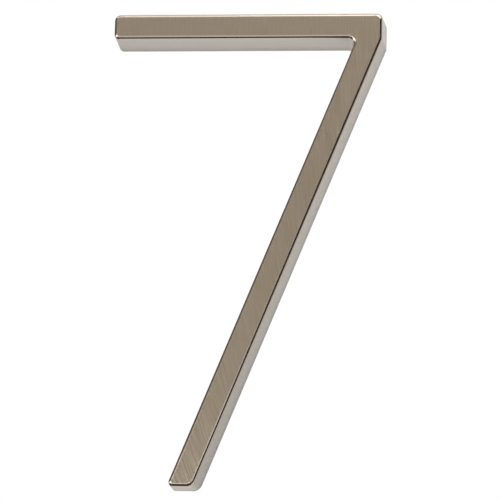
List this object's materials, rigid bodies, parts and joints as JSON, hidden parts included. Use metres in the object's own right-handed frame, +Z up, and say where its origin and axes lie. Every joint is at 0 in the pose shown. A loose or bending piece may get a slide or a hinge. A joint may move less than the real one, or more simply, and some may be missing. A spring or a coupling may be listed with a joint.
{
  "type": "house number",
  "caption": "Modern figure seven for a house wall or door, slim bar and slanted leg, tapered sides, satin nickel, flat back with tapped stud holes.",
  "frame": {"origin": "mouth of the stud hole in the bar, on the back face that lies on the wall", "axes": "+Z up the figure, +X to the viewer's right, +Y into the wall; the front faces -Y"},
  "size_m": [0.0729, 0.0125, 0.127],
  "materials": {
    "satin_nickel": "satin, brushed front"
  },
  "bodies": {
    "root": {"number_seven": "satin_nickel"}
  },
  "joints": []
}
